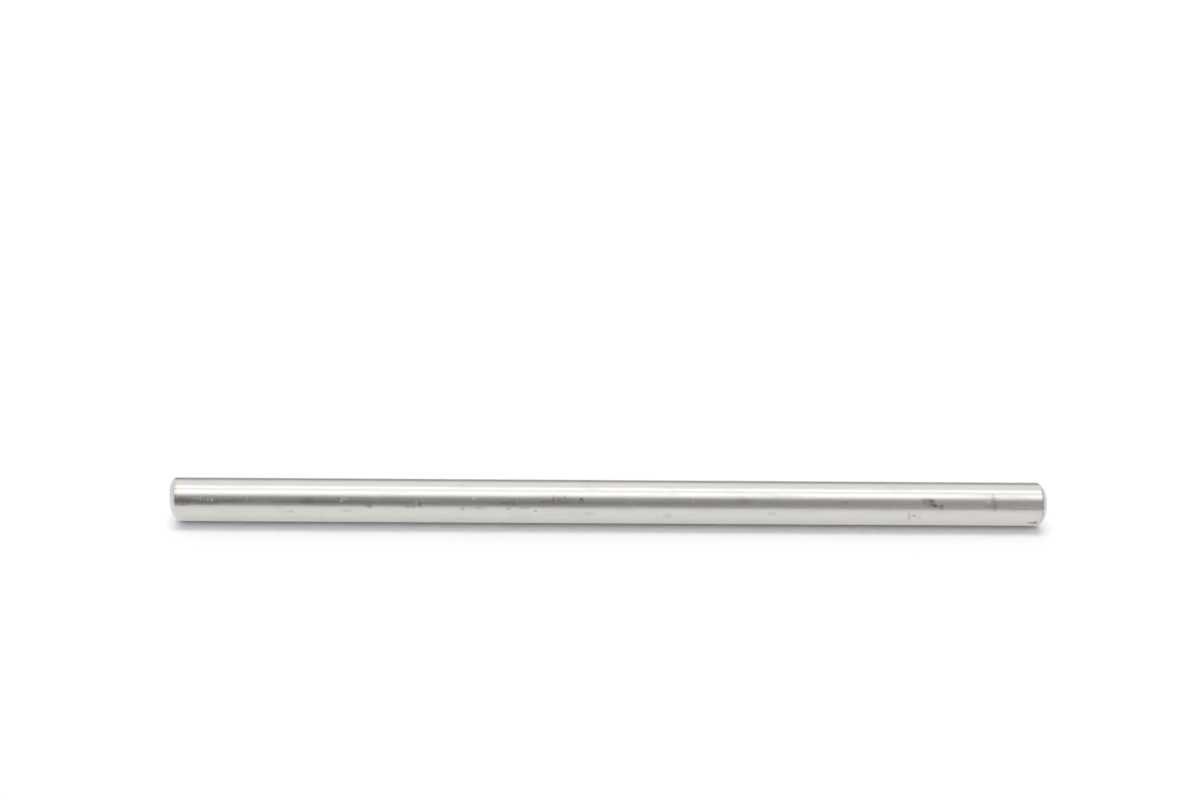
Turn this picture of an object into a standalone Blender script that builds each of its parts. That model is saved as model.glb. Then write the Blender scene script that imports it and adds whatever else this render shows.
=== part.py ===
"""Knife block pin: one plain turned pin of stainless steel with a chamfer at each end.

Metres, +Z up. The pin lies along X, with the middle of its axis at the origin.
"""

import math

import bmesh
import bpy

# Driving dimensions, in metres.
DIAMETER = 0.008
LENGTH = 0.160  # over both end faces, 20 diameters
CHAMFER = DIAMETER / 8  # 45 degrees: as long as it is deep
CHAMFER_CROWN = 0.00014  # how far use has rounded the chamfer: its middle stands proud of the cone

# How finely the round forms are divided.
FACETS = 96
CROWN_STEPS = 8
MERGE_DISTANCE = 1e-5
SMOOTH_BELOW = math.radians(15)  # the crown's own facets are smooth, its two edges stay sharp

STEEL_COLOR = (0.63, 0.62, 0.60, 1.0)
STEEL_ROUGHNESS = 0.22


def clear_scene():
    for obj in list(bpy.data.objects):
        bpy.data.objects.remove(obj, do_unlink=True)


def steel():
    """Bare stainless steel, drawn and turned bright."""
    material = bpy.data.materials.new("stainless_steel")
    material.use_nodes = True
    shader = material.node_tree.nodes["Principled BSDF"]
    shader.inputs["Base Color"].default_value = STEEL_COLOR
    shader.inputs["Metallic"].default_value = 1.0
    shader.inputs["Roughness"].default_value = STEEL_ROUGHNESS
    return material


def crowned_chamfer(rim, shoulder):
    """Points of the shallow arc from the end face's rim to the shoulder on the shank."""
    half_chord = math.dist(rim, shoulder) / 2
    radius = (half_chord**2 + CHAMFER_CROWN**2) / (2 * CHAMFER_CROWN)
    half_turn = math.asin(half_chord / radius)
    slope = math.atan2(shoulder[1] - rim[1], shoulder[0] - rim[0])
    middle = ((rim[0] + shoulder[0]) / 2, (rim[1] + shoulder[1]) / 2)
    points = []
    for step in range(CROWN_STEPS + 1):
        turn = half_turn * (2 * step / CROWN_STEPS - 1)
        across = radius * math.sin(turn)
        proud = radius * math.cos(turn) - radius + CHAMFER_CROWN
        points.append(
            (
                middle[0] + across * math.cos(slope) - proud * math.sin(slope),
                middle[1] + across * math.sin(slope) + proud * math.cos(slope),
            )
        )
    return points


def upper_profile():
    """(radius, height) from the middle of the upper end face out and down to the shoulder."""
    radius = DIAMETER / 2
    top = LENGTH / 2
    hub = (0.0, top)
    rim = (radius - CHAMFER, top)
    shoulder = (radius, top - CHAMFER)
    return [hub, *crowned_chamfer(rim, shoulder)]


def turned_profile():
    """The whole outline from the upper face to the lower one: the two ends are alike."""
    upper = upper_profile()
    lower = [(radius, -height) for radius, height in reversed(upper)]
    return upper + lower


def profile_mesh(name, points):
    """A chain of edges in the XZ plane, at +X, ready to be turned about Z."""
    mesh = bpy.data.meshes.new(name)
    bm = bmesh.new()
    chain = [bm.verts.new((radius, 0.0, height)) for radius, height in points]
    for first, second in zip(chain, chain[1:]):
        bm.edges.new((first, second))
    bm.to_mesh(mesh)
    bm.free()
    return mesh


def turn_about_z(obj):
    screw = obj.modifiers.new("turning", "SCREW")
    screw.axis = "Z"
    screw.angle = math.tau
    screw.steps = FACETS
    screw.render_steps = FACETS
    screw.use_merge_vertices = True
    screw.merge_threshold = MERGE_DISTANCE
    screw.use_smooth_shade = True


def apply_modifiers(obj):
    graph = bpy.context.evaluated_depsgraph_get()
    solid = bpy.data.meshes.new_from_object(obj.evaluated_get(graph))
    obj.modifiers.clear()
    obj.data = solid


def make_pin(material):
    pin = bpy.data.objects.new("pin", profile_mesh("pin", turned_profile()))
    bpy.context.scene.collection.objects.link(pin)
    turn_about_z(pin)
    apply_modifiers(pin)
    pin.data.shade_smooth()
    pin.data.set_sharp_from_angle(angle=SMOOTH_BELOW)
    pin.data.materials.append(material)
    pin.rotation_euler = (0.0, math.radians(90), 0.0)  # the turning axis comes to lie along +X
    return pin


clear_scene()
make_pin(steel())
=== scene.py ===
"""Looks of the knife block pin: a worn, drawn stainless steel pin on a white studio floor."""

import math
from collections import namedtuple

import bmesh
import bpy
from mathutils import Matrix, Vector, noise


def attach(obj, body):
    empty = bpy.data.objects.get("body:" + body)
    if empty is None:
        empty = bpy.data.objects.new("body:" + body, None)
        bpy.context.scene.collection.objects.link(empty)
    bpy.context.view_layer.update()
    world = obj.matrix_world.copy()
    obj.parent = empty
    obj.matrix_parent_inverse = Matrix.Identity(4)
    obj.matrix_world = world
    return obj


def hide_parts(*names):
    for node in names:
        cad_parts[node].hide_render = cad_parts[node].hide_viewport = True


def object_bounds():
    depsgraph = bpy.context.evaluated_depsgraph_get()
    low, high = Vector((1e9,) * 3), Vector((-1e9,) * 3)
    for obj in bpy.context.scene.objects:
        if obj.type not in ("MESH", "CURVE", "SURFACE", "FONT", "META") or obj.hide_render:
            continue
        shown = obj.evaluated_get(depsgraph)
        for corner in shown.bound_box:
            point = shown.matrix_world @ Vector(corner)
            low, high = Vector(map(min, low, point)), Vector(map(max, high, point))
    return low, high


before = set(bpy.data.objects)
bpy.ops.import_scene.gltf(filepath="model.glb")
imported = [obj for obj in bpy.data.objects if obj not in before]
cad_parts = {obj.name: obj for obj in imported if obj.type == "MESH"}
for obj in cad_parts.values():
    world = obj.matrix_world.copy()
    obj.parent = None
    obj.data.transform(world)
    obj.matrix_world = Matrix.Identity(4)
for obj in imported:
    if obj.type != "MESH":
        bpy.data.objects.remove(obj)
CAD_LOW, CAD_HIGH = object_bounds()

LENGTH = CAD_HIGH.x - CAD_LOW.x
RADIUS = (CAD_HIGH.z - CAD_LOW.z) / 2
FLOOR_HEIGHT = CAD_LOW.z
MM = 0.001

# ---------------------------------------------------------------- shape of the pin

# The turned ends, as the CAD part has them, with their two edges just broken.
CHAMFER = RADIUS / 4
CHAMFER_CROWN = 0.00014
CROWN_STEPS = 10
EDGE_RADIUS = 0.00006
EDGE_STEPS = 4

# The left end was dressed by hand: it leans, its underside a little shorter, and its lowest
# part is worn back further.
LEFT_LEAN = math.radians(4.2)
LEAN_FADES_OVER = 0.006
WORN_BELOW = 0.0010  # how far under the axis the wear begins
WORN_BACK = 38.0  # how far back it goes, for the square of the depth under that, in metres

# Unevenness that turning left on both ends: its height, how far in it reaches, and how close
# its waves are round the pin and, in waves a metre, along it.
DRESSING_WAVES = 0.000025
DRESSING_REACH = 1.5 * CHAMFER
DRESSING_ROUND = 2.5
DRESSING_ALONG = 600

# Edges sharper than this stay sharp in the shading.
SMOOTH_BELOW = math.radians(50)

# Steps round the pin: close together on the worn side, which faces the viewer.
WORN_ARC = (math.radians(-126), math.radians(-44))
WORN_STEPS = 100
PLAIN_STEPS = 64

# The bake's map, in metres of pin: its side, the gap round each part of it, and how much wider
# the pin's surface is drawn on it than it is.
MAP_SIZE = 0.0840
MAP_GAP = 0.0012
MAP_STRETCH = 1.4

# Distances between rings along the shank: where it's plain, in nicks and under stains and painted
# shade. The close rings reach past both ends of a mark, as a share of its length from its middle.
RING_SPACING = 0.0020
NICK_SPACING = 0.00010
PAINT_SPACING = 0.00030
CLOSE_RINGS_REACH = 0.7
CLOSEST_RINGS = 0.95 * NICK_SPACING

# The metal of a nick is pushed up round it in a low lip: how far out the lip reaches, as
# mark_shape() counts, and how high it is, as a share of the nick's depth.
LIP_REACH = 1.2
LIP_HEIGHT = 0.22

# How far stains, the painted shade lines and scuffs fade out past their edges, as mark_shape()
# counts.
SOFT_EDGE = 0.8

# Every nick is a scuff too, this strong.
NICK_SCUFF = 0.9

# A mark lies at so many mm from the middle and so many degrees round, 0 on top and negative
# towards the viewer. It has a length and a width in mm, turned by a slant from the pin's length.
Mark = namedtuple("Mark", "along angle length width strength slant", defaults=(0,))

# Pits and scratches pressed into the surface: strength is the depth in mm.
NICKS = (
    Mark(-75.6, -59.0, 0.30, 0.45, 0.010),
    Mark(-75.2, -59.0, 0.25, 0.40, 0.010),
    Mark(-74.3, -61.5, 0.22, 0.75, 0.014),
    Mark(-73.7, -62.2, 0.22, 0.70, 0.014, 10),
    Mark(-73.1, -62.2, 0.25, 0.65, 0.014, -8),
    Mark(-72.4, -62.6, 0.40, 0.60, 0.014),
    Mark(-70.8, -90.3, 0.50, 0.20, 0.008),
    Mark(-66.1, -59.5, 0.20, 1.20, 0.007),
    Mark(-55.9, -62.5, 0.25, 1.10, 0.008, 12),
    Mark(-52.5, -96.0, 0.80, 0.20, 0.006, -10),
    Mark(-49.1, -63.0, 0.22, 1.30, 0.012, 8),
    Mark(-47.9, -60.0, 0.45, 0.30, 0.008, 25),
    Mark(-35.3, -69.8, 0.22, 1.20, 0.018, 12),
    Mark(-34.8, -68.0, 0.25, 0.80, 0.022, -15),
    Mark(-34.5, -64.5, 0.22, 0.90, 0.018),
    Mark(-34.2, -76.6, 0.30, 0.60, 0.020, -30),
    Mark(-25.3, -55.2, 0.28, 0.55, 0.012, -30),
    Mark(-24.9, -58.0, 0.22, 0.60, 0.010, -30),
    Mark(-17.1, -66.0, 0.22, 1.10, 0.012),
    Mark(-13.8, -89.0, 0.40, 0.35, 0.014, 30),
    Mark(-12.2, -62.6, 0.60, 0.30, 0.014),
    Mark(-10.6, -57.3, 0.20, 1.30, 0.020),
    Mark(-10.1, -59.5, 0.20, 1.20, 0.020, 5),
    Mark(-9.6, -61.5, 0.20, 1.30, 0.020, -6),
    Mark(-9.2, -57.0, 0.20, 0.90, 0.012),
    Mark(-8.5, -58.5, 0.24, 1.10, 0.020),
    Mark(-5.5, -59.4, 0.35, 0.85, 0.022, 15),
    Mark(14.7, -56.0, 0.22, 0.90, 0.006, -10),
    Mark(15.0, -62.5, 0.20, 0.60, 0.008),
    Mark(26.8, -66.5, 1.20, 0.20, 0.010),
    Mark(42.5, -60.5, 0.80, 0.20, 0.012),
    Mark(54.6, -100.0, 0.25, 1.10, 0.008, 15),
    Mark(55.6, -96.0, 0.50, 0.40, 0.010, 35),
    Mark(56.5, -104.0, 0.30, 0.60, 0.008, -20),
    Mark(58.9, -63.0, 1.20, 0.40, 0.020, -48),
    Mark(59.6, -69.0, 0.90, 0.30, 0.020, -30),
    Mark(60.3, -71.5, 0.45, 0.85, 0.030),
    Mark(68.9, -56.0, 0.60, 0.50, 0.008),
    Mark(74.5, -55.5, 0.30, 0.45, 0.008),
    Mark(75.1, -55.5, 0.30, 0.45, 0.008),
    Mark(77.5, -121.5, 1.90, 0.40, 0.045, -12),
    Mark(78.4, -108.0, 0.60, 0.90, -0.020, 20),
)

# Dark deposits, and two lines of painted shade at the shoulders: strength is how much of the
# steel's shine they take.
STAIN_AND_SHADE_MARKS = (
    # Painted shade: a dark line along the left shoulder's edge, where that edge is in shade.
    Mark(-78.9, -44.0, 0.55, 5.0, 0.30),
    Mark(-77.6, -69.0, 3.2, 1.6, 0.45),
    Mark(-73.5, -72.5, 6.0, 0.6, 0.35),
    Mark(-68.2, -65.0, 3.0, 1.0, 0.25),
    Mark(-58.1, -95.0, 1.4, 0.45, 0.22),
    Mark(-55.9, -62.5, 0.7, 1.4, 0.30, 12),
    Mark(-55.3, -63.5, 3.0, 1.3, 0.36),
    Mark(-52.5, -96.0, 1.0, 0.35, 0.28, -10),
    Mark(-49.5, -57.5, 0.9, 0.5, 0.40),
    Mark(-48.1, -91.6, 2.0, 0.45, 0.20),
    Mark(-44.1, -77.0, 1.4, 0.8, 0.40, -15),
    Mark(-36.5, -79.0, 2.2, 0.6, 0.36),
    Mark(-34.8, -70.0, 0.9, 1.4, 0.55, 10),
    Mark(-27.0, -85.0, 1.0, 0.8, 0.26),
    Mark(-24.0, -81.4, 2.0, 0.5, 0.28),
    Mark(-18.7, -83.0, 1.0, 0.6, 0.28),
    Mark(-18.6, -67.5, 3.2, 0.9, 0.40),
    Mark(-15.8, -80.1, 2.6, 0.5, 0.22),
    Mark(-13.8, -89.0, 0.5, 0.45, 0.45, 30),
    Mark(-12.2, -62.6, 1.2, 0.5, 0.60),
    Mark(-10.6, -58.0, 0.30, 1.4, 0.50),
    Mark(-9.6, -59.8, 3.6, 1.4, 0.26),
    Mark(-9.6, -60.5, 0.25, 1.4, 0.40),
    Mark(-8.6, -58.5, 0.30, 1.3, 0.55),
    Mark(-5.5, -59.4, 0.8, 1.0, 0.85),
    Mark(-4.3, -94.9, 3.0, 0.6, 0.16),
    Mark(10.3, -100.0, 1.6, 1.2, 0.18),
    Mark(24.0, -59.5, 3.0, 1.2, 0.24),
    Mark(29.3, -93.0, 1.8, 0.8, 0.16),
    Mark(42.5, -60.5, 1.2, 0.4, 0.60),
    Mark(54.5, -101.0, 0.5, 2.2, 0.26, 10),
    Mark(55.5, -96.5, 0.8, 0.7, 0.32, 20),
    Mark(56.4, -103.0, 0.4, 0.8, 0.22, -15),
    Mark(57.7, -53.0, 2.4, 0.5, 0.36),
    Mark(58.0, -59.5, 2.4, 1.6, 0.40, -20),
    Mark(58.6, -60.5, 1.1, 0.9, 0.45, -50),
    Mark(59.1, -67.5, 1.0, 0.75, 0.68, -30),
    Mark(59.8, -70.5, 0.9, 0.4, 0.45, -10),
    Mark(60.3, -71.5, 0.62, 1.1, 0.72),
    Mark(69.5, -70.0, 3.4, 0.6, 0.22),
    Mark(70.0, -60.0, 0.9, 3.2, 0.34, 4),
    Mark(75.2, -65.5, 2.6, 0.25, 0.26),
    Mark(74.9, -75.0, 3.4, 0.25, 0.30),
    Mark(77.6, -121.5, 1.8, 0.45, 0.85, -12),
    Mark(78.1, -117.0, 0.7, 0.8, 0.55),
    # Painted shade: a dark line along the right shoulder's edge, where that edge is in shade.
    Mark(79.0, -78.0, 0.40, 8.0, 0.42),
)

# Scuffs, dull and pale: strength is how much of the polish is gone.
SCUFFS = (
    Mark(-48.9, -60.0, 2.0, 1.0, 0.4),
    Mark(-35.0, -68.0, 2.0, 1.2, 0.4),
    Mark(-25.0, -56.5, 0.9, 0.6, 0.6),
    Mark(-17.0, -104.0, 4.0, 1.2, 0.5),
    Mark(-8.4, -113.1, 1.0, 0.7, 0.4),
    Mark(3.1, -51.9, 1.4, 0.4, 0.6),
    Mark(55.4, -97.0, 3.0, 1.8, 0.7),
    Mark(60.0, -95.0, 4.0, 1.6, 0.4),
    Mark(69.9, -98.2, 2.0, 0.3, 0.5),
    Mark(75.8, -70.5, 5.0, 0.40, 0.6),
    Mark(77.9, -100.0, 1.2, 1.4, 0.6),
)

# Heat tint on the left end: straw on the shank's upper front, violet grey on the chamfer and the
# end face.
STRAW_REACH = 0.0021
STRAW_MIDDLE = math.radians(-54)
STRAW_HALF_ARC = math.radians(48)
VIOLET_REACH = 1.1 * CHAMFER
VIOLET_FADES_OVER = 0.2 * CHAMFER

# ---------------------------------------------------------------- steel

STEEL = (0.666, 0.653, 0.634, 1.0)
# Also the colour of the painted shade lines at the shoulders.
STAIN_AND_SHADE_COLOR = (0.185, 0.165, 0.150, 1.0)
STRAW = (0.730, 0.660, 0.530, 1.0)
VIOLET = (0.680, 0.665, 0.700, 1.0)
ROUGHNESS = 0.20
ROUGHNESS_STREAKS = 0.10
ROUGHNESS_PATCHES = 0.10
SCUFFED_ROUGHNESS = 0.50
DARK_IS_DULL = 0.6  # how much of a full scuff a dark deposit is, and the painted shade lines too

# How fine each pattern is: so many spots a metre along the pin, and so many round it.
DRAWN_LINES = (45, 5200)
LINE_BANDS = (9, 1400)
TARNISH_CLOUDS = (160, 520)
DULL_PATCHES = (110, 900)
GRIT = (1700, 3200)
TURNED_RINGS = 9000  # a metre, outwards from the axis and along it

# The stretch of each pattern's value over which it sets in.
TARNISH_SETS_IN = (0.50, 0.78)
PATCHES_SET_IN = (0.45, 0.75)
GRIT_SETS_IN = (0.36, 0.60)
STRAW_GRIT_SETS_IN = (0.35, 0.62)
RINGS_SET_IN = (0.35, 0.65)

# How strongly each one tells.
TARNISH = 0.10
RING_DARKNESS = 0.22
VIOLET_STRENGTH = 0.6
MARK_IN_GRIT = (0.25, 1.25)  # a mark's strength between the grit and on it
STRAW_IN_GRIT = (0.35, 1.0)
PATCH_RELIEF = 3.0  # in heights of the drawn lines
RELIEF_DEPTH = 4e-6

# Where the end's finish starts, and where its flat face does, in chamfers from the end.
END_STARTS = (1.05, 0.95)
FACE_STARTS = (0.35, 0.15)

# ---------------------------------------------------------------- camera

# The lens's axis lies left of the frame's middle, as in a picture that was cropped.
LENS_MM = 57.585
SENSOR_MM = 36.0
SHIFT_X = 0.12

# Where the camera stands, seen from the middle of the pin, and how its view is turned aside,
# aimed above the pin and rolled.
CAMERA_DISTANCE = 2.2 * LENGTH
CAMERA_ELEVATION = math.radians(28.0)
CAMERA_LEFT = 0.234 * LENGTH
YAW = math.radians(-1.639)
AIM_ABOVE = math.radians(3.011)
ROLL = math.radians(1.115)
CLIP_START = 0.01
CLIP_END = 20.0

# ---------------------------------------------------------------- studio

# How bright the studio is round the pin: (degrees up from the horizon in front of the pin, over
# the top and down behind it, level).
ROOM = (
    (0, 0.50),
    (10, 0.27),
    (21, 0.19),
    (32, 0.34),
    (39, 0.38),
    (45, 0.52),
    (51, 0.85),
    (58, 1.36),
    (63, 1.64),
    (73, 1.64),
    (78, 1.46),
    (81, 1.15),
    (87, 1.15),
    (90, 1.60),
    (99, 1.78),
    (107, 1.06),
    (136, 1.12),
    (144, 1.00),
    (156, 0.47),
    (173, 0.41),
    (180, 0.50),
)

# Overhead, a long lamp, which gives the shadow its edge. The steel doesn't see the lamp itself:
# what it mirrors of it is the brightest stretch of the room above.
LAMP_OVER = math.radians(99)
LAMP_DISTANCE = 10.0
LAMP_LENGTH = 0.60 * LAMP_DISTANCE
LAMP_WIDTH = 0.264 * LAMP_DISTANCE
LAMP_LEVEL = 5.4
LAMP_POWER = 4.0  # watts a square metre, at which a lamp has the level 1

# To the sides, by how far a direction points along the pin, from 0 to 1: on the left the wall,
# on the right a dark curtain and then the wall.
LEFT_WALL_START = 0.38
LEFT_WALL_FULL = 0.46
CURTAIN_START = 0.38
CURTAIN_FULL = 0.46
CURTAIN_END = 0.82
CURTAIN_GONE = 0.90
CURTAIN_LEVEL = 0.50

# The wall's level low down and high up, by how far a direction points up, from 0 to 1.
WALL_LOW = 0.97
WALL_HIGH = 0.90
WALL_CHANGES = (0.25, 0.50)

# Behind the pin the left wall and the curtain go over into the back wall, between so many half
# turns up from the horizon in front of the pin.
BACK_WALL = 1.00
BACK_STARTS = (132 / 180, 140 / 180)

# A paler patch low on the dark front wall, to the right of the camera.
PATCH_LEVEL = 0.36
PATCH_STARTS = math.radians(-2)
PATCH_ENDS = math.radians(26)
PATCH_HEIGHT = math.radians(16)
PATCH_HALF_HEIGHT = math.radians(25)
PATCH_LAST = math.radians(34)
PATCH_GONE = math.radians(50)

WHITE = (1.000, 1.000, 1.000, 1.0)
BLACK = (0.000, 0.000, 0.000, 1.0)
COOL_WALL = (0.980, 1.000, 1.010, 1.0)
COOL_STARTS = (0.32, 0.24)  # half turns up: the wall is cool low in front of the pin
WARM_PATCH = (1.000, 0.930, 0.850, 1.0)

# How strongly the pin throws the light of both sides back on the sheet, as its ends do, and how
# far along the pin a direction points, from 0 to 1, where that sets in.
THROWN_ASIDE = 5.00
THROWN_FROM = (0.48, 0.76)

# The sheet: its colour in the light, and its glow, which is painted light. The camera sees a
# little of the glow, which lifts the shadow. The steel mirrors the glow in place of the light on
# the sheet, a painted reflection of the lit sheet.
SHEET_REACH = 3.0
FLOOR_COLOR = (0.824, 0.839, 0.858, 1.0)
FLOOR_GLOW = (1.000, 0.988, 0.970, 1.0)
GLOW_LEVEL = 1.03
GLOW_FOR_CAMERA = 0.075

# In the steel the glow has half its strength at UNDER_PIN from the line on which the pin lies. As
# painted fall-off of light, the sheet's colour and glow darken towards the viewer, to half of
# LIT_LEVEL at LIT_FLOOR from that line.
UNDER_PIN = 0.0010
LIT_FLOOR = 0.115
LIT_LEVEL = 1.10


# ---------------------------------------------------------------- shape


def blend(before, corner, after, radius):
    """Points of the arc that rounds a corner of the profile, tangent to both of its sides."""
    way_in = math.atan2(corner[1] - before[1], corner[0] - before[0])
    way_out = math.atan2(after[1] - corner[1], after[0] - corner[0])
    turn = (way_out - way_in + math.pi) % math.tau - math.pi
    setback = radius * math.tan(abs(turn) / 2)
    side = math.copysign(1.0, turn)
    start = (corner[0] - setback * math.cos(way_in), corner[1] - setback * math.sin(way_in))
    centre = (
        start[0] - side * radius * math.sin(way_in),
        start[1] + side * radius * math.cos(way_in),
    )
    points = []
    for step in range(EDGE_STEPS + 1):
        heading = way_in + turn * step / EDGE_STEPS
        points.append(
            (
                centre[0] + side * radius * math.sin(heading),
                centre[1] - side * radius * math.cos(heading),
            )
        )
    return points


def crowned_chamfer(rim, shoulder):
    """Points of the shallow arc from the end face's rim to the shoulder on the shank."""
    half_chord = math.dist(rim, shoulder) / 2
    radius = (half_chord**2 + CHAMFER_CROWN**2) / (2 * CHAMFER_CROWN)
    half_turn = math.asin(half_chord / radius)
    slope = math.atan2(shoulder[1] - rim[1], shoulder[0] - rim[0])
    middle = ((rim[0] + shoulder[0]) / 2, (rim[1] + shoulder[1]) / 2)
    points = []
    for step in range(CROWN_STEPS + 1):
        turn = half_turn * (2 * step / CROWN_STEPS - 1)
        across = radius * math.sin(turn)
        proud = radius * math.cos(turn) - radius + CHAMFER_CROWN
        points.append(
            (
                middle[0] + across * math.cos(slope) - proud * math.sin(slope),
                middle[1] + across * math.sin(slope) + proud * math.cos(slope),
            )
        )
    return points


def end_profile():
    """(radius, distance along the axis) from the rim of the right end face to the shank."""
    top = LENGTH / 2
    crown = crowned_chamfer((RADIUS - CHAMFER, top), (RADIUS, top - CHAMFER))
    rim = blend((0.0, top), crown[0], crown[1], EDGE_RADIUS)
    shoulder = blend(crown[-2], crown[-1], (RADIUS, 0.0), EDGE_RADIUS)
    return rim + crown[1:-1] + shoulder


def shank_positions(reach):
    """Where the rings of the shank lie: evenly, and close together where there are marks."""
    count = round(2 * reach / RING_SPACING)
    places = [reach * (1 - 2 * step / count) for step in range(1, count)]
    for marks, spacing in ((NICKS, NICK_SPACING), (STAIN_AND_SHADE_MARKS + SCUFFS, PAINT_SPACING)):
        for mark in marks:
            slant = math.radians(mark.slant)
            spread = mark.length * abs(math.cos(slant)) + mark.width * abs(math.sin(slant))
            half = spread * MM * CLOSE_RINGS_REACH
            steps = math.ceil(2 * half / spacing)
            middle = mark.along * MM
            places += [middle + half * (2 * step / steps - 1) for step in range(steps + 1)]
    kept = [reach]
    for place in sorted(places, reverse=True):
        if kept[-1] - place > CLOSEST_RINGS and place + reach > NICK_SPACING:
            kept.append(place)
    return kept[1:]


def ring_angles():
    """Angles round a ring, from the underside past the viewer's side and over the top."""
    start, end = WORN_ARC
    worn = [start + (end - start) * step / WORN_STEPS for step in range(WORN_STEPS)]
    rest = math.tau - (end - start)
    plain = [end + rest * step / PLAIN_STEPS for step in range(PLAIN_STEPS)]
    return worn + plain


def pin_rings():
    """(radius, distance along the axis) of every ring, from the right end to the left one."""
    right = end_profile()
    reach = right[-1][1]
    shank = [(RADIUS, place) for place in shank_positions(reach)]
    left = [(radius, -along) for radius, along in reversed(right)]
    return right + shank + left


def mark_shape(mark, along, angle):
    """How far inside a mark a point of the shank is: 1 in its middle, 0 at its edge, then less."""
    turned = (angle - math.radians(mark.angle) + math.pi) % math.tau - math.pi
    across = turned * RADIUS / MM
    ahead = along / MM - mark.along
    slant = math.radians(mark.slant)
    u = (ahead * math.cos(slant) + across * math.sin(slant)) / (mark.length / 2)
    v = (across * math.cos(slant) - ahead * math.sin(slant)) / (mark.width / 2)
    return 1 - (u * u + v * v)


def dent(marks, along, angle):
    """Depth in metres, with a low lip of metal round each mark, highest half way out."""
    depth = 0.0
    for mark in marks:
        inside = mark_shape(mark, along, angle)
        if inside > 0:
            depth += mark.strength * MM * inside * inside * (3 - 2 * inside)
        elif inside > -LIP_REACH:
            lip = -inside / LIP_REACH
            depth -= LIP_HEIGHT * mark.strength * MM * 4 * lip * (1 - lip)
    return depth


def cover(marks, along, angle):
    """How strongly soft-edged marks cover a point, from 0 to 1."""
    bare = 1.0
    for mark in marks:
        inside = mark_shape(mark, along, angle)
        if inside > -SOFT_EDGE:
            share = (inside + SOFT_EDGE) / (1 + SOFT_EDGE)
            bare *= 1 - mark.strength * share * share * (3 - 2 * share)
    return 1 - bare


def near(marks, along):
    """Those of the marks that may reach a ring."""
    return [m for m in marks if abs(along / MM - m.along) < m.length + m.width]


def lean(along, height):
    """How far the left end's lean and wear move a point of it along the axis."""
    into = along + LENGTH / 2 - CHAMFER
    weight = min(max(1 - into / LEAN_FADES_OVER, 0.0), 1.0)
    low = max(-height - WORN_BELOW, 0.0)
    return (WORN_BACK * low * low - math.tan(LEFT_LEAN) * height) * weight


def dressing(along, angle):
    """How far the unevenness of the turned ends moves a point along the axis."""
    if LENGTH / 2 - abs(along) > DRESSING_REACH:
        return 0.0
    across = math.cos(angle) * DRESSING_ROUND
    up = math.sin(angle) * DRESSING_ROUND
    return DRESSING_WAVES * noise.noise(Vector((across, up, along * DRESSING_ALONG)))


def straw(along, angle):
    """Heat tint on the shank beside the left chamfer."""
    inset = along + LENGTH / 2 - CHAMFER
    if not 0 <= inset < STRAW_REACH:
        return 0.0
    aside = abs(angle - STRAW_MIDDLE) / STRAW_HALF_ARC
    return (1 - inset / STRAW_REACH) * max(0.0, 1 - aside * aside)


def violet(along):
    """Heat tint on the left chamfer and end face."""
    inset = along + LENGTH / 2
    return min(max((VIOLET_REACH - inset) / VIOLET_FADES_OVER, 0.0), 1.0)


def along_profile(rings):
    """How far each ring lies from the right end face's rim, measured along the profile."""
    gone = [0.0]
    for (radius, place), (next_radius, next_place) in zip(rings, rings[1:]):
        gone.append(gone[-1] + math.hypot(next_radius - radius, next_place - place))
    return gone


def on_map(strip, along, turn):
    """Where a point lies on the bake's map: the pin unrolled as two strips, its halves."""
    across = MAP_STRETCH * math.tau * RADIUS
    return Vector(
        (
            (MAP_GAP + along) / MAP_SIZE,
            (MAP_GAP + strip * (across + MAP_GAP) + turn * across) / MAP_SIZE,
        )
    )


def add_rings(bm, paint, profile, angles):
    """The pin's points, ring by ring, with how much stains and painted shade, scuffs and tints
    cover them.
    """
    rings = []
    for radius, along in profile:
        nicks = near(NICKS, along) if radius == RADIUS else ()
        scraped = [nick._replace(strength=NICK_SCUFF) for nick in nicks]
        stains_and_shade = near(STAIN_AND_SHADE_MARKS, along)
        scuffs = near(SCUFFS, along)
        ring = []
        for angle in angles:
            out = radius - dent(nicks, along, angle)
            height = out * math.cos(angle)
            place = along + lean(along, height) + dressing(along, angle)
            vert = bm.verts.new((place, out * math.sin(angle), height))
            scuffed = max(cover(scuffs, along, angle), cover(scraped, along, angle))
            # This cover holds the painted shade lines at the shoulders too.
            vert[paint["stain_and_shade"]] = cover(stains_and_shade, along, angle)
            vert[paint["scuff"]] = scuffed
            vert[paint["straw"]] = straw(along, angle)
            vert[paint["violet"]] = violet(along)
            ring.append(vert)
        rings.append(ring)
    return rings


def add_skin(bm, bake_map, rings, gone, angles):
    """The faces between the rings, unrolled on the bake's map."""
    turns = [(angle - angles[0]) / math.tau for angle in angles] + [1.0]
    half_way = gone[-1] / 2
    for number, (first, second) in enumerate(zip(rings, rings[1:])):
        strip = 1 if gone[number] >= half_way else 0
        near_side = gone[number] - strip * half_way
        far_side = gone[number + 1] - strip * half_way
        for step in range(len(angles)):
            after = (step + 1) % len(angles)
            face = bm.faces.new((first[step], second[step], second[after], first[after]))
            sides = (near_side, far_side, far_side, near_side)
            steps = (step, step, step + 1, step + 1)
            for loop, side, turned in zip(face.loops, sides, steps):
                loop[bake_map].uv = on_map(strip, side, turns[turned])


def add_end_face(bm, bake_map, paint, ring, end, place_on_map):
    """A fan from the end face's middle to its rim, laid flat on the bake's map."""
    middle = on_map(2, place_on_map, 0.0) + Vector((0.0, RADIUS / MAP_SIZE))
    hub = bm.verts.new((end, 0.0, 0.0))
    hub[paint["violet"]] = violet(end)
    for step in range(len(ring)):
        after = (step + 1) % len(ring)
        corners = (hub, ring[step], ring[after])
        face = bm.faces.new(corners if end > 0 else corners[::-1])
        for loop in face.loops:
            loop[bake_map].uv = middle + loop.vert.co.yz / MAP_SIZE


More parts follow.
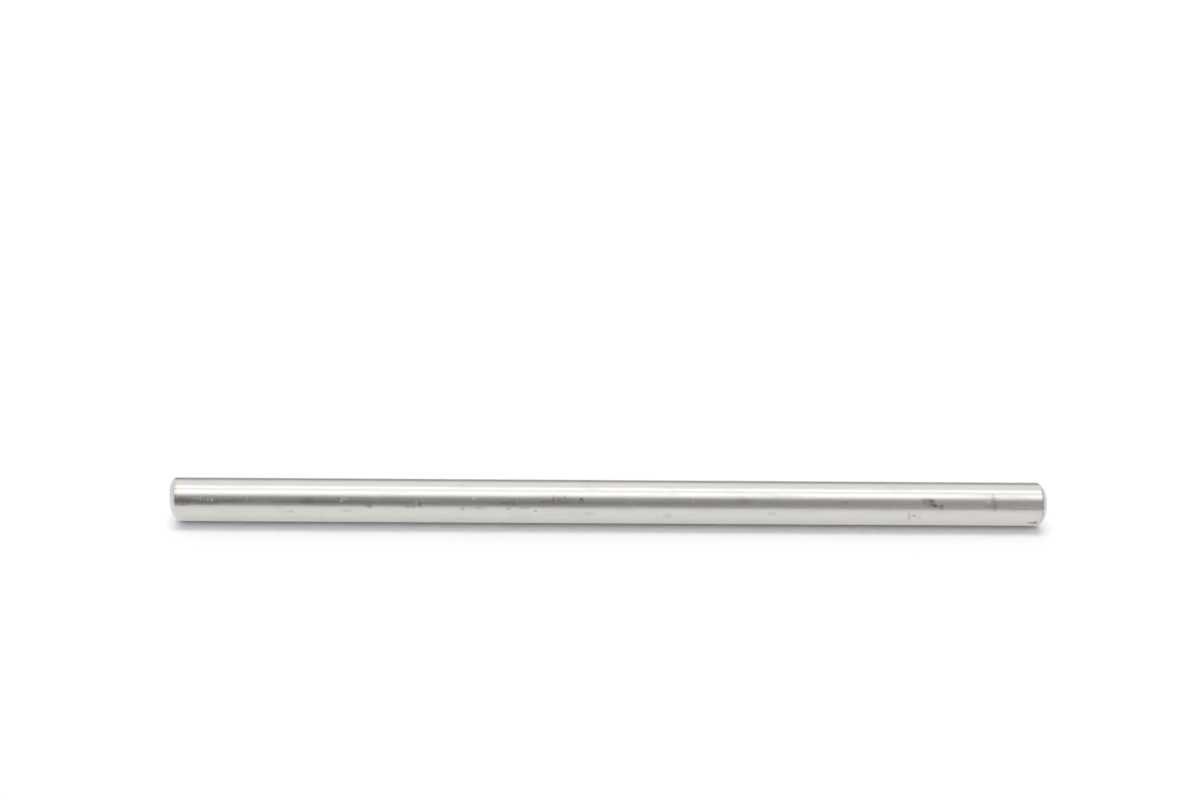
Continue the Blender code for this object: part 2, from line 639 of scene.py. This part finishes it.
def pin_mesh():
    """The pin's surface, with its map for the bake and its layers of stains and painted shade,
    scuff and tint.
    """
    bm = bmesh.new()
    bake_map = bm.loops.layers.uv.new("OFBake")
    names = ("stain_and_shade", "scuff", "straw", "violet")
    paint = {name: bm.verts.layers.float.new(name) for name in names}
    angles = ring_angles()
    profile = pin_rings()
    rings = add_rings(bm, paint, profile, angles)
    add_skin(bm, bake_map, rings, along_profile(profile), angles)
    add_end_face(bm, bake_map, paint, rings[0], LENGTH / 2, RADIUS)
    add_end_face(bm, bake_map, paint, rings[-1], -LENGTH / 2, 3 * RADIUS)
    bmesh.ops.recalc_face_normals(bm, faces=bm.faces)
    mesh = bpy.data.meshes.new("pin_surface")
    bm.to_mesh(mesh)
    bm.free()
    mesh.shade_smooth()
    mesh.set_sharp_from_angle(angle=SMOOTH_BELOW)
    return mesh


# ---------------------------------------------------------------- finish


class Graph:
    """Short ways to add and join a material's nodes."""

    def __init__(self, tree):
        self.nodes = tree.nodes
        self.links = tree.links

    def feed(self, socket, value):
        if isinstance(value, bpy.types.NodeSocket):
            self.links.new(value, socket)
        else:
            socket.default_value = value

    def math(self, operation, *values):
        node = self.nodes.new("ShaderNodeMath")
        node.operation = operation
        for socket, value in zip(node.inputs, values):
            self.feed(socket, value)
        return node.outputs[0]

    def vector(self, x, y, z):
        node = self.nodes.new("ShaderNodeCombineXYZ")
        for socket, value in zip(node.inputs, (x, y, z)):
            self.feed(socket, value)
        return node.outputs[0]

    def noise(self, vector, detail, roughness=0.55):
        node = self.nodes.new("ShaderNodeTexNoise")
        self.feed(node.inputs["Vector"], vector)
        node.inputs["Scale"].default_value = 1.0
        node.inputs["Detail"].default_value = detail
        node.inputs["Roughness"].default_value = roughness
        return node.outputs["Fac"]

    def span(self, value, low, high, to_low=0.0, to_high=1.0):
        """A soft step: to_low at one value, to_high at the other."""
        node = self.nodes.new("ShaderNodeMapRange")
        node.interpolation_type = "SMOOTHSTEP"
        self.feed(node.inputs["Value"], value)
        node.inputs["From Min"].default_value = low
        node.inputs["From Max"].default_value = high
        node.inputs["To Min"].default_value = to_low
        node.inputs["To Max"].default_value = to_high
        return node.outputs["Result"]

    def ramp(self, share, stops):
        """Level along a ramp whose stops are given in degrees, out of a half turn."""
        peak = max(level for degrees, level in stops)
        node = self.nodes.new("ShaderNodeValToRGB")
        elements = node.color_ramp.elements
        elements.remove(elements[1])
        for number, (degrees, level) in enumerate(stops):
            stop = elements.new(degrees / 180) if number else elements[0]
            stop.position = degrees / 180
            stop.color = (level / peak, level / peak, level / peak, 1.0)
        self.feed(node.inputs[0], share)
        return self.math("MULTIPLY", node.outputs["Color"], peak)

    def blend(self, share, first, second):
        """One number going over into another."""
        node = self.nodes.new("ShaderNodeMix")
        self.feed(node.inputs["Factor"], share)
        self.feed(node.inputs["A"], first)
        self.feed(node.inputs["B"], second)
        return node.outputs["Result"]

    def mix(self, share, first, second):
        """One colour going over into another."""
        node = self.nodes.new("ShaderNodeMix")
        node.data_type = "RGBA"
        self.feed(node.inputs["Factor"], share)
        self.feed(node.inputs["A"], first)
        self.feed(node.inputs["B"], second)
        return node.outputs["Result"]

    def attribute(self, name):
        node = self.nodes.new("ShaderNodeAttribute")
        node.attribute_name = name
        return node.outputs["Fac"]

    def bump(self, height, distance):
        node = self.nodes.new("ShaderNodeBump")
        node.inputs["Distance"].default_value = distance
        self.feed(node.inputs["Height"], height)
        return node.outputs["Normal"]


def steel():
    """Bright drawn steel: fine lines along the shank, turned rings on the ends, marks of use,
    painted shade at the shoulders.
    """
    material = bpy.data.materials.new("worn_stainless_steel")
    material.use_nodes = True
    shader = material.node_tree.nodes["Principled BSDF"]
    graph = Graph(material.node_tree)
    place = graph.nodes.new("ShaderNodeTexCoord").outputs["Object"]
    axes = graph.nodes.new("ShaderNodeSeparateXYZ")
    graph.links.new(place, axes.inputs[0])
    x, y, z = axes.outputs

    def pattern(per_metre, **settings):
        along, around = per_metre
        spot = graph.vector(
            graph.math("MULTIPLY", x, along),
            graph.math("MULTIPLY", y, around),
            graph.math("MULTIPLY", z, around),
        )
        return graph.noise(spot, **settings)

    # Fine drawn lines, broader bands of them, and soft clouds of tarnish.
    lines = pattern(DRAWN_LINES, detail=4.0, roughness=0.65)
    bands = pattern(LINE_BANDS, detail=2.0)
    clouds = pattern(TARNISH_CLOUDS, detail=3.0)

    # Rings from turning, on the chamfers and the end faces only.
    squares = graph.math("ADD", graph.math("MULTIPLY", y, y), graph.math("MULTIPLY", z, z))
    rings_out = graph.math("MULTIPLY", graph.math("SQRT", squares), TURNED_RINGS)
    rings_in = graph.math("MULTIPLY", x, TURNED_RINGS)
    turned = graph.noise(graph.vector(rings_out, rings_in, 0.0), detail=2.0)
    inward = graph.math("SUBTRACT", LENGTH / 2, graph.math("ABSOLUTE", x))
    on_end = graph.span(inward, *(CHAMFER * share for share in END_STARTS))
    on_face = graph.span(inward, *(CHAMFER * share for share in FACE_STARTS))

    # Stains, the painted shade lines and scuffs are broken up by grit.
    grit = pattern(GRIT, detail=3.0)
    broken = graph.span(grit, *GRIT_SETS_IN, *MARK_IN_GRIT)

    # The painted shade lines at the shoulders come in with the stains.
    stain_and_shade = graph.math("MULTIPLY", graph.attribute("stain_and_shade"), broken)
    tarnish = graph.span(clouds, *TARNISH_SETS_IN, 0.0, TARNISH)
    rings = graph.math("MULTIPLY", graph.span(turned, *RINGS_SET_IN, 0.0, RING_DARKNESS), on_face)
    dark = graph.math("MINIMUM", graph.math("ADD", graph.math("ADD", stain_and_shade, tarnish), rings), 1.0)
    straw_in_grit = graph.span(grit, *STRAW_GRIT_SETS_IN, *STRAW_IN_GRIT)
    straw_tint = graph.math("MULTIPLY", graph.attribute("straw"), straw_in_grit)
    violet_tint = graph.math("MULTIPLY", graph.attribute("violet"), VIOLET_STRENGTH)
    tinted = graph.mix(violet_tint, graph.mix(straw_tint, STEEL, STRAW), VIOLET)
    graph.links.new(graph.mix(dark, tinted, STAIN_AND_SHADE_COLOR), shader.inputs["Base Color"])

    scuff = graph.math("MULTIPLY", graph.attribute("scuff"), broken)
    patches = pattern(DULL_PATCHES, detail=3.0)
    streaked = graph.math(
        "ADD",
        ROUGHNESS - ROUGHNESS_STREAKS / 2,
        graph.math("MULTIPLY", graph.math("ADD", lines, bands), ROUGHNESS_STREAKS / 2),
    )
    dull = graph.span(patches, *PATCHES_SET_IN, 0.0, ROUGHNESS_PATCHES)
    streaked = graph.math("ADD", streaked, dull)
    worn = graph.math("MAXIMUM", scuff, graph.math("MULTIPLY", dark, DARK_IS_DULL))
    roughness = graph.math(
        "ADD",
        streaked,
        graph.math("MULTIPLY", worn, graph.math("SUBTRACT", SCUFFED_ROUGHNESS, streaked)),
    )
    graph.links.new(roughness, shader.inputs["Roughness"])

    shank_relief = graph.math("ADD", lines, graph.math("MULTIPLY", patches, PATCH_RELIEF))
    relief = graph.math(
        "ADD",
        graph.math("MULTIPLY", shank_relief, graph.math("SUBTRACT", 1.0, on_end)),
        graph.math("MULTIPLY", turned, on_end),
    )
    graph.links.new(graph.bump(relief, RELIEF_DEPTH), shader.inputs["Normal"])
    shader.inputs["Metallic"].default_value = 1.0
    return material


# ---------------------------------------------------------------- studio


def studio_world():
    """The studio round the pin, as a level for each direction. The camera itself sees white."""
    world = bpy.data.worlds.new("studio")
    bpy.context.scene.world = world
    world.use_nodes = True
    world.node_tree.nodes.clear()
    graph = Graph(world.node_tree)
    way = graph.nodes.new("ShaderNodeTexCoord").outputs["Generated"]
    axes = graph.nodes.new("ShaderNodeSeparateXYZ")
    graph.links.new(way, axes.inputs[0])
    x, y, z = axes.outputs
    towards = graph.math("MULTIPLY", y, -1.0)

    # Half turns over the pin, from the horizon in front of it, and then the patch's own angles.
    over = graph.math("DIVIDE", graph.math("ARCTAN2", z, towards), math.pi)
    azimuth = graph.math("ARCTAN2", x, towards)
    height = graph.math("ARCSINE", z)
    off_middle = graph.math("ABSOLUTE", graph.math("SUBTRACT", height, PATCH_HEIGHT))
    patch = graph.math(
        "MULTIPLY",
        graph.math(
            "MULTIPLY",
            graph.span(azimuth, PATCH_STARTS, PATCH_ENDS),
            graph.span(azimuth, PATCH_GONE, PATCH_LAST),
        ),
        graph.span(off_middle, PATCH_HALF_HEIGHT, 0.0),
    )
    middle = graph.math("ADD", graph.ramp(over, ROOM), graph.math("MULTIPLY", patch, PATCH_LEVEL))
    wall = graph.span(z, *WALL_CHANGES, WALL_LOW, WALL_HIGH)
    behind = graph.span(over, *BACK_STARTS)
    curtain = graph.blend(behind, CURTAIN_LEVEL, BACK_WALL)
    right = graph.blend(graph.span(x, CURTAIN_END, CURTAIN_GONE), curtain, wall)
    level = graph.blend(graph.span(x, CURTAIN_START, CURTAIN_FULL), middle, right)
    left = graph.blend(behind, wall, BACK_WALL)
    level = graph.blend(graph.span(x, -LEFT_WALL_START, -LEFT_WALL_FULL), level, left)

    path = graph.nodes.new("ShaderNodeLightPath")
    seen = graph.nodes.new("ShaderNodeBackground")
    seen.inputs["Color"].default_value = WHITE
    light = graph.nodes.new("ShaderNodeBackground")
    tint = graph.mix(graph.span(over, *COOL_STARTS), WHITE, COOL_WALL)
    graph.links.new(graph.mix(patch, tint, WARM_PATCH), light.inputs["Color"])

    # The pin's ends throw light back on the sheet, its shank does not: the shadow stays deep.
    thrown = graph.math("MULTIPLY", path.outputs["Is Glossy Ray"], path.outputs["Diffuse Depth"])
    from_sides = graph.span(graph.math("ABSOLUTE", x), *THROWN_FROM, 0.0, THROWN_ASIDE)
    kept = graph.blend(graph.math("MINIMUM", thrown, 1.0), 1.0, from_sides)
    graph.links.new(graph.math("MULTIPLY", level, kept), light.inputs["Strength"])
    mix = graph.nodes.new("ShaderNodeMixShader")
    graph.links.new(path.outputs["Is Camera Ray"], mix.inputs[0])
    graph.links.new(light.outputs[0], mix.inputs[1])
    graph.links.new(seen.outputs[0], mix.inputs[2])
    output = graph.nodes.new("ShaderNodeOutputWorld")
    graph.links.new(mix.outputs[0], output.inputs["Surface"])


def floor_material():
    """A white sheet that keeps the pin's shadow, with painted fall-off of light and a painted
    glow.
    """
    material = bpy.data.materials.new("white_floor")
    material.use_nodes = True
    material.node_tree.nodes.clear()
    graph = Graph(material.node_tree)
    path = graph.nodes.new("ShaderNodeLightPath")
    place = graph.nodes.new("ShaderNodeTexCoord").outputs["Object"]
    axes = graph.nodes.new("ShaderNodeSeparateXYZ")
    graph.links.new(place, axes.inputs[0])

    # Painted fall-off of light: to everything but the camera itself, the sheet's colour and glow
    # darken towards the viewer.
    ahead = graph.math("MAXIMUM", graph.math("DIVIDE", axes.outputs[1], -LIT_FLOOR), 0.0)
    falloff = graph.math("DIVIDE", LIT_LEVEL, graph.math("ADD", 1.0, ahead))
    lit = graph.math("MAXIMUM", graph.math("MINIMUM", falloff, 1.0), path.outputs["Is Camera Ray"])
    sheet = graph.nodes.new("ShaderNodeBsdfDiffuse")
    graph.links.new(graph.mix(lit, BLACK, FLOOR_COLOR), sheet.inputs["Color"])
    glow = graph.nodes.new("ShaderNodeEmission")
    graph.links.new(graph.mix(lit, BLACK, FLOOR_GLOW), glow.inputs["Color"])
    glow.inputs["Strength"].default_value = GLOW_LEVEL

    # The camera sees the sheet without the painted fall-off, with a little painted glow that lifts
    # the shadow. The steel sees the glow, less of it close under the pin, unless the light has
    # already been scattered on its way.
    away = graph.math("ABSOLUTE", axes.outputs[1])
    open_floor = graph.math("DIVIDE", away, graph.math("ADD", away, UNDER_PIN))
    undiffused = graph.math("SUBTRACT", 1.0, path.outputs["Diffuse Depth"])
    undiffused = graph.math("MAXIMUM", undiffused, 0.0)
    mirrored = graph.math("MULTIPLY", path.outputs["Is Glossy Ray"], undiffused)
    share = graph.math(
        "ADD",
        graph.math("MULTIPLY", path.outputs["Is Camera Ray"], GLOW_FOR_CAMERA),
        graph.math("MULTIPLY", mirrored, open_floor),
    )
    mix = graph.nodes.new("ShaderNodeMixShader")
    graph.links.new(share, mix.inputs[0])
    graph.links.new(sheet.outputs[0], mix.inputs[1])
    graph.links.new(glow.outputs[0], mix.inputs[2])
    output = graph.nodes.new("ShaderNodeOutputMaterial")
    graph.links.new(mix.outputs[0], output.inputs["Surface"])
    return material


def studio_floor():
    """The sheet on which the pin lies."""
    mesh = bpy.data.meshes.new("floor")
    bm = bmesh.new()
    bmesh.ops.create_grid(bm, x_segments=1, y_segments=1, size=SHEET_REACH)
    bm.to_mesh(mesh)
    bm.free()
    floor = bpy.data.objects.new("floor", mesh)
    floor.location.z = FLOOR_HEIGHT
    bpy.context.scene.collection.objects.link(floor)
    mesh.materials.append(floor_material())


def overhead_lamp():
    """The lamp over the pin, hidden from the camera and from the steel."""
    data = bpy.data.lights.new("lamp", "AREA")
    data.shape = "RECTANGLE"
    data.size = LAMP_LENGTH
    data.size_y = LAMP_WIDTH
    data.energy = LAMP_LEVEL * LAMP_POWER * LAMP_LENGTH * LAMP_WIDTH
    lamp = bpy.data.objects.new("lamp", data)
    bpy.context.scene.collection.objects.link(lamp)
    lamp.visible_camera = False
    lamp.visible_glossy = False
    tilt = Matrix.Rotation(math.radians(90) - LAMP_OVER, 4, "X")
    lamp.matrix_world = tilt @ Matrix.Translation((0.0, 0.0, LAMP_DISTANCE))


def camera():
    """The photo's viewing angle."""
    data = bpy.data.cameras.new("camera")
    data.lens = LENS_MM
    data.sensor_width = SENSOR_MM
    data.shift_x = SHIFT_X
    data.clip_start = CLIP_START
    data.clip_end = CLIP_END
    obj = bpy.data.objects.new("camera", data)
    bpy.context.scene.collection.objects.link(obj)
    place = Vector(
        (
            -CAMERA_LEFT,
            -CAMERA_DISTANCE * math.cos(CAMERA_ELEVATION),
            CAMERA_DISTANCE * math.sin(CAMERA_ELEVATION),
        )
    )
    pitch = math.radians(90) - (CAMERA_ELEVATION - AIM_ABOVE)
    obj.matrix_world = (
        Matrix.Translation(place)
        @ Matrix.Rotation(YAW, 4, "Z")
        @ Matrix.Rotation(pitch, 4, "X")
        @ Matrix.Rotation(ROLL, 4, "Z")
    )
    bpy.context.scene.camera = obj


# ---------------------------------------------------------------- scene

bpy.context.scene.view_settings.view_transform = "Standard"
pin = bpy.data.objects.new("turned_pin", pin_mesh())
bpy.context.scene.collection.objects.link(pin)
pin.data.materials.append(steel())
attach(pin, "root")
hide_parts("pin")
studio_floor()
studio_world()
overhead_lamp()
camera()
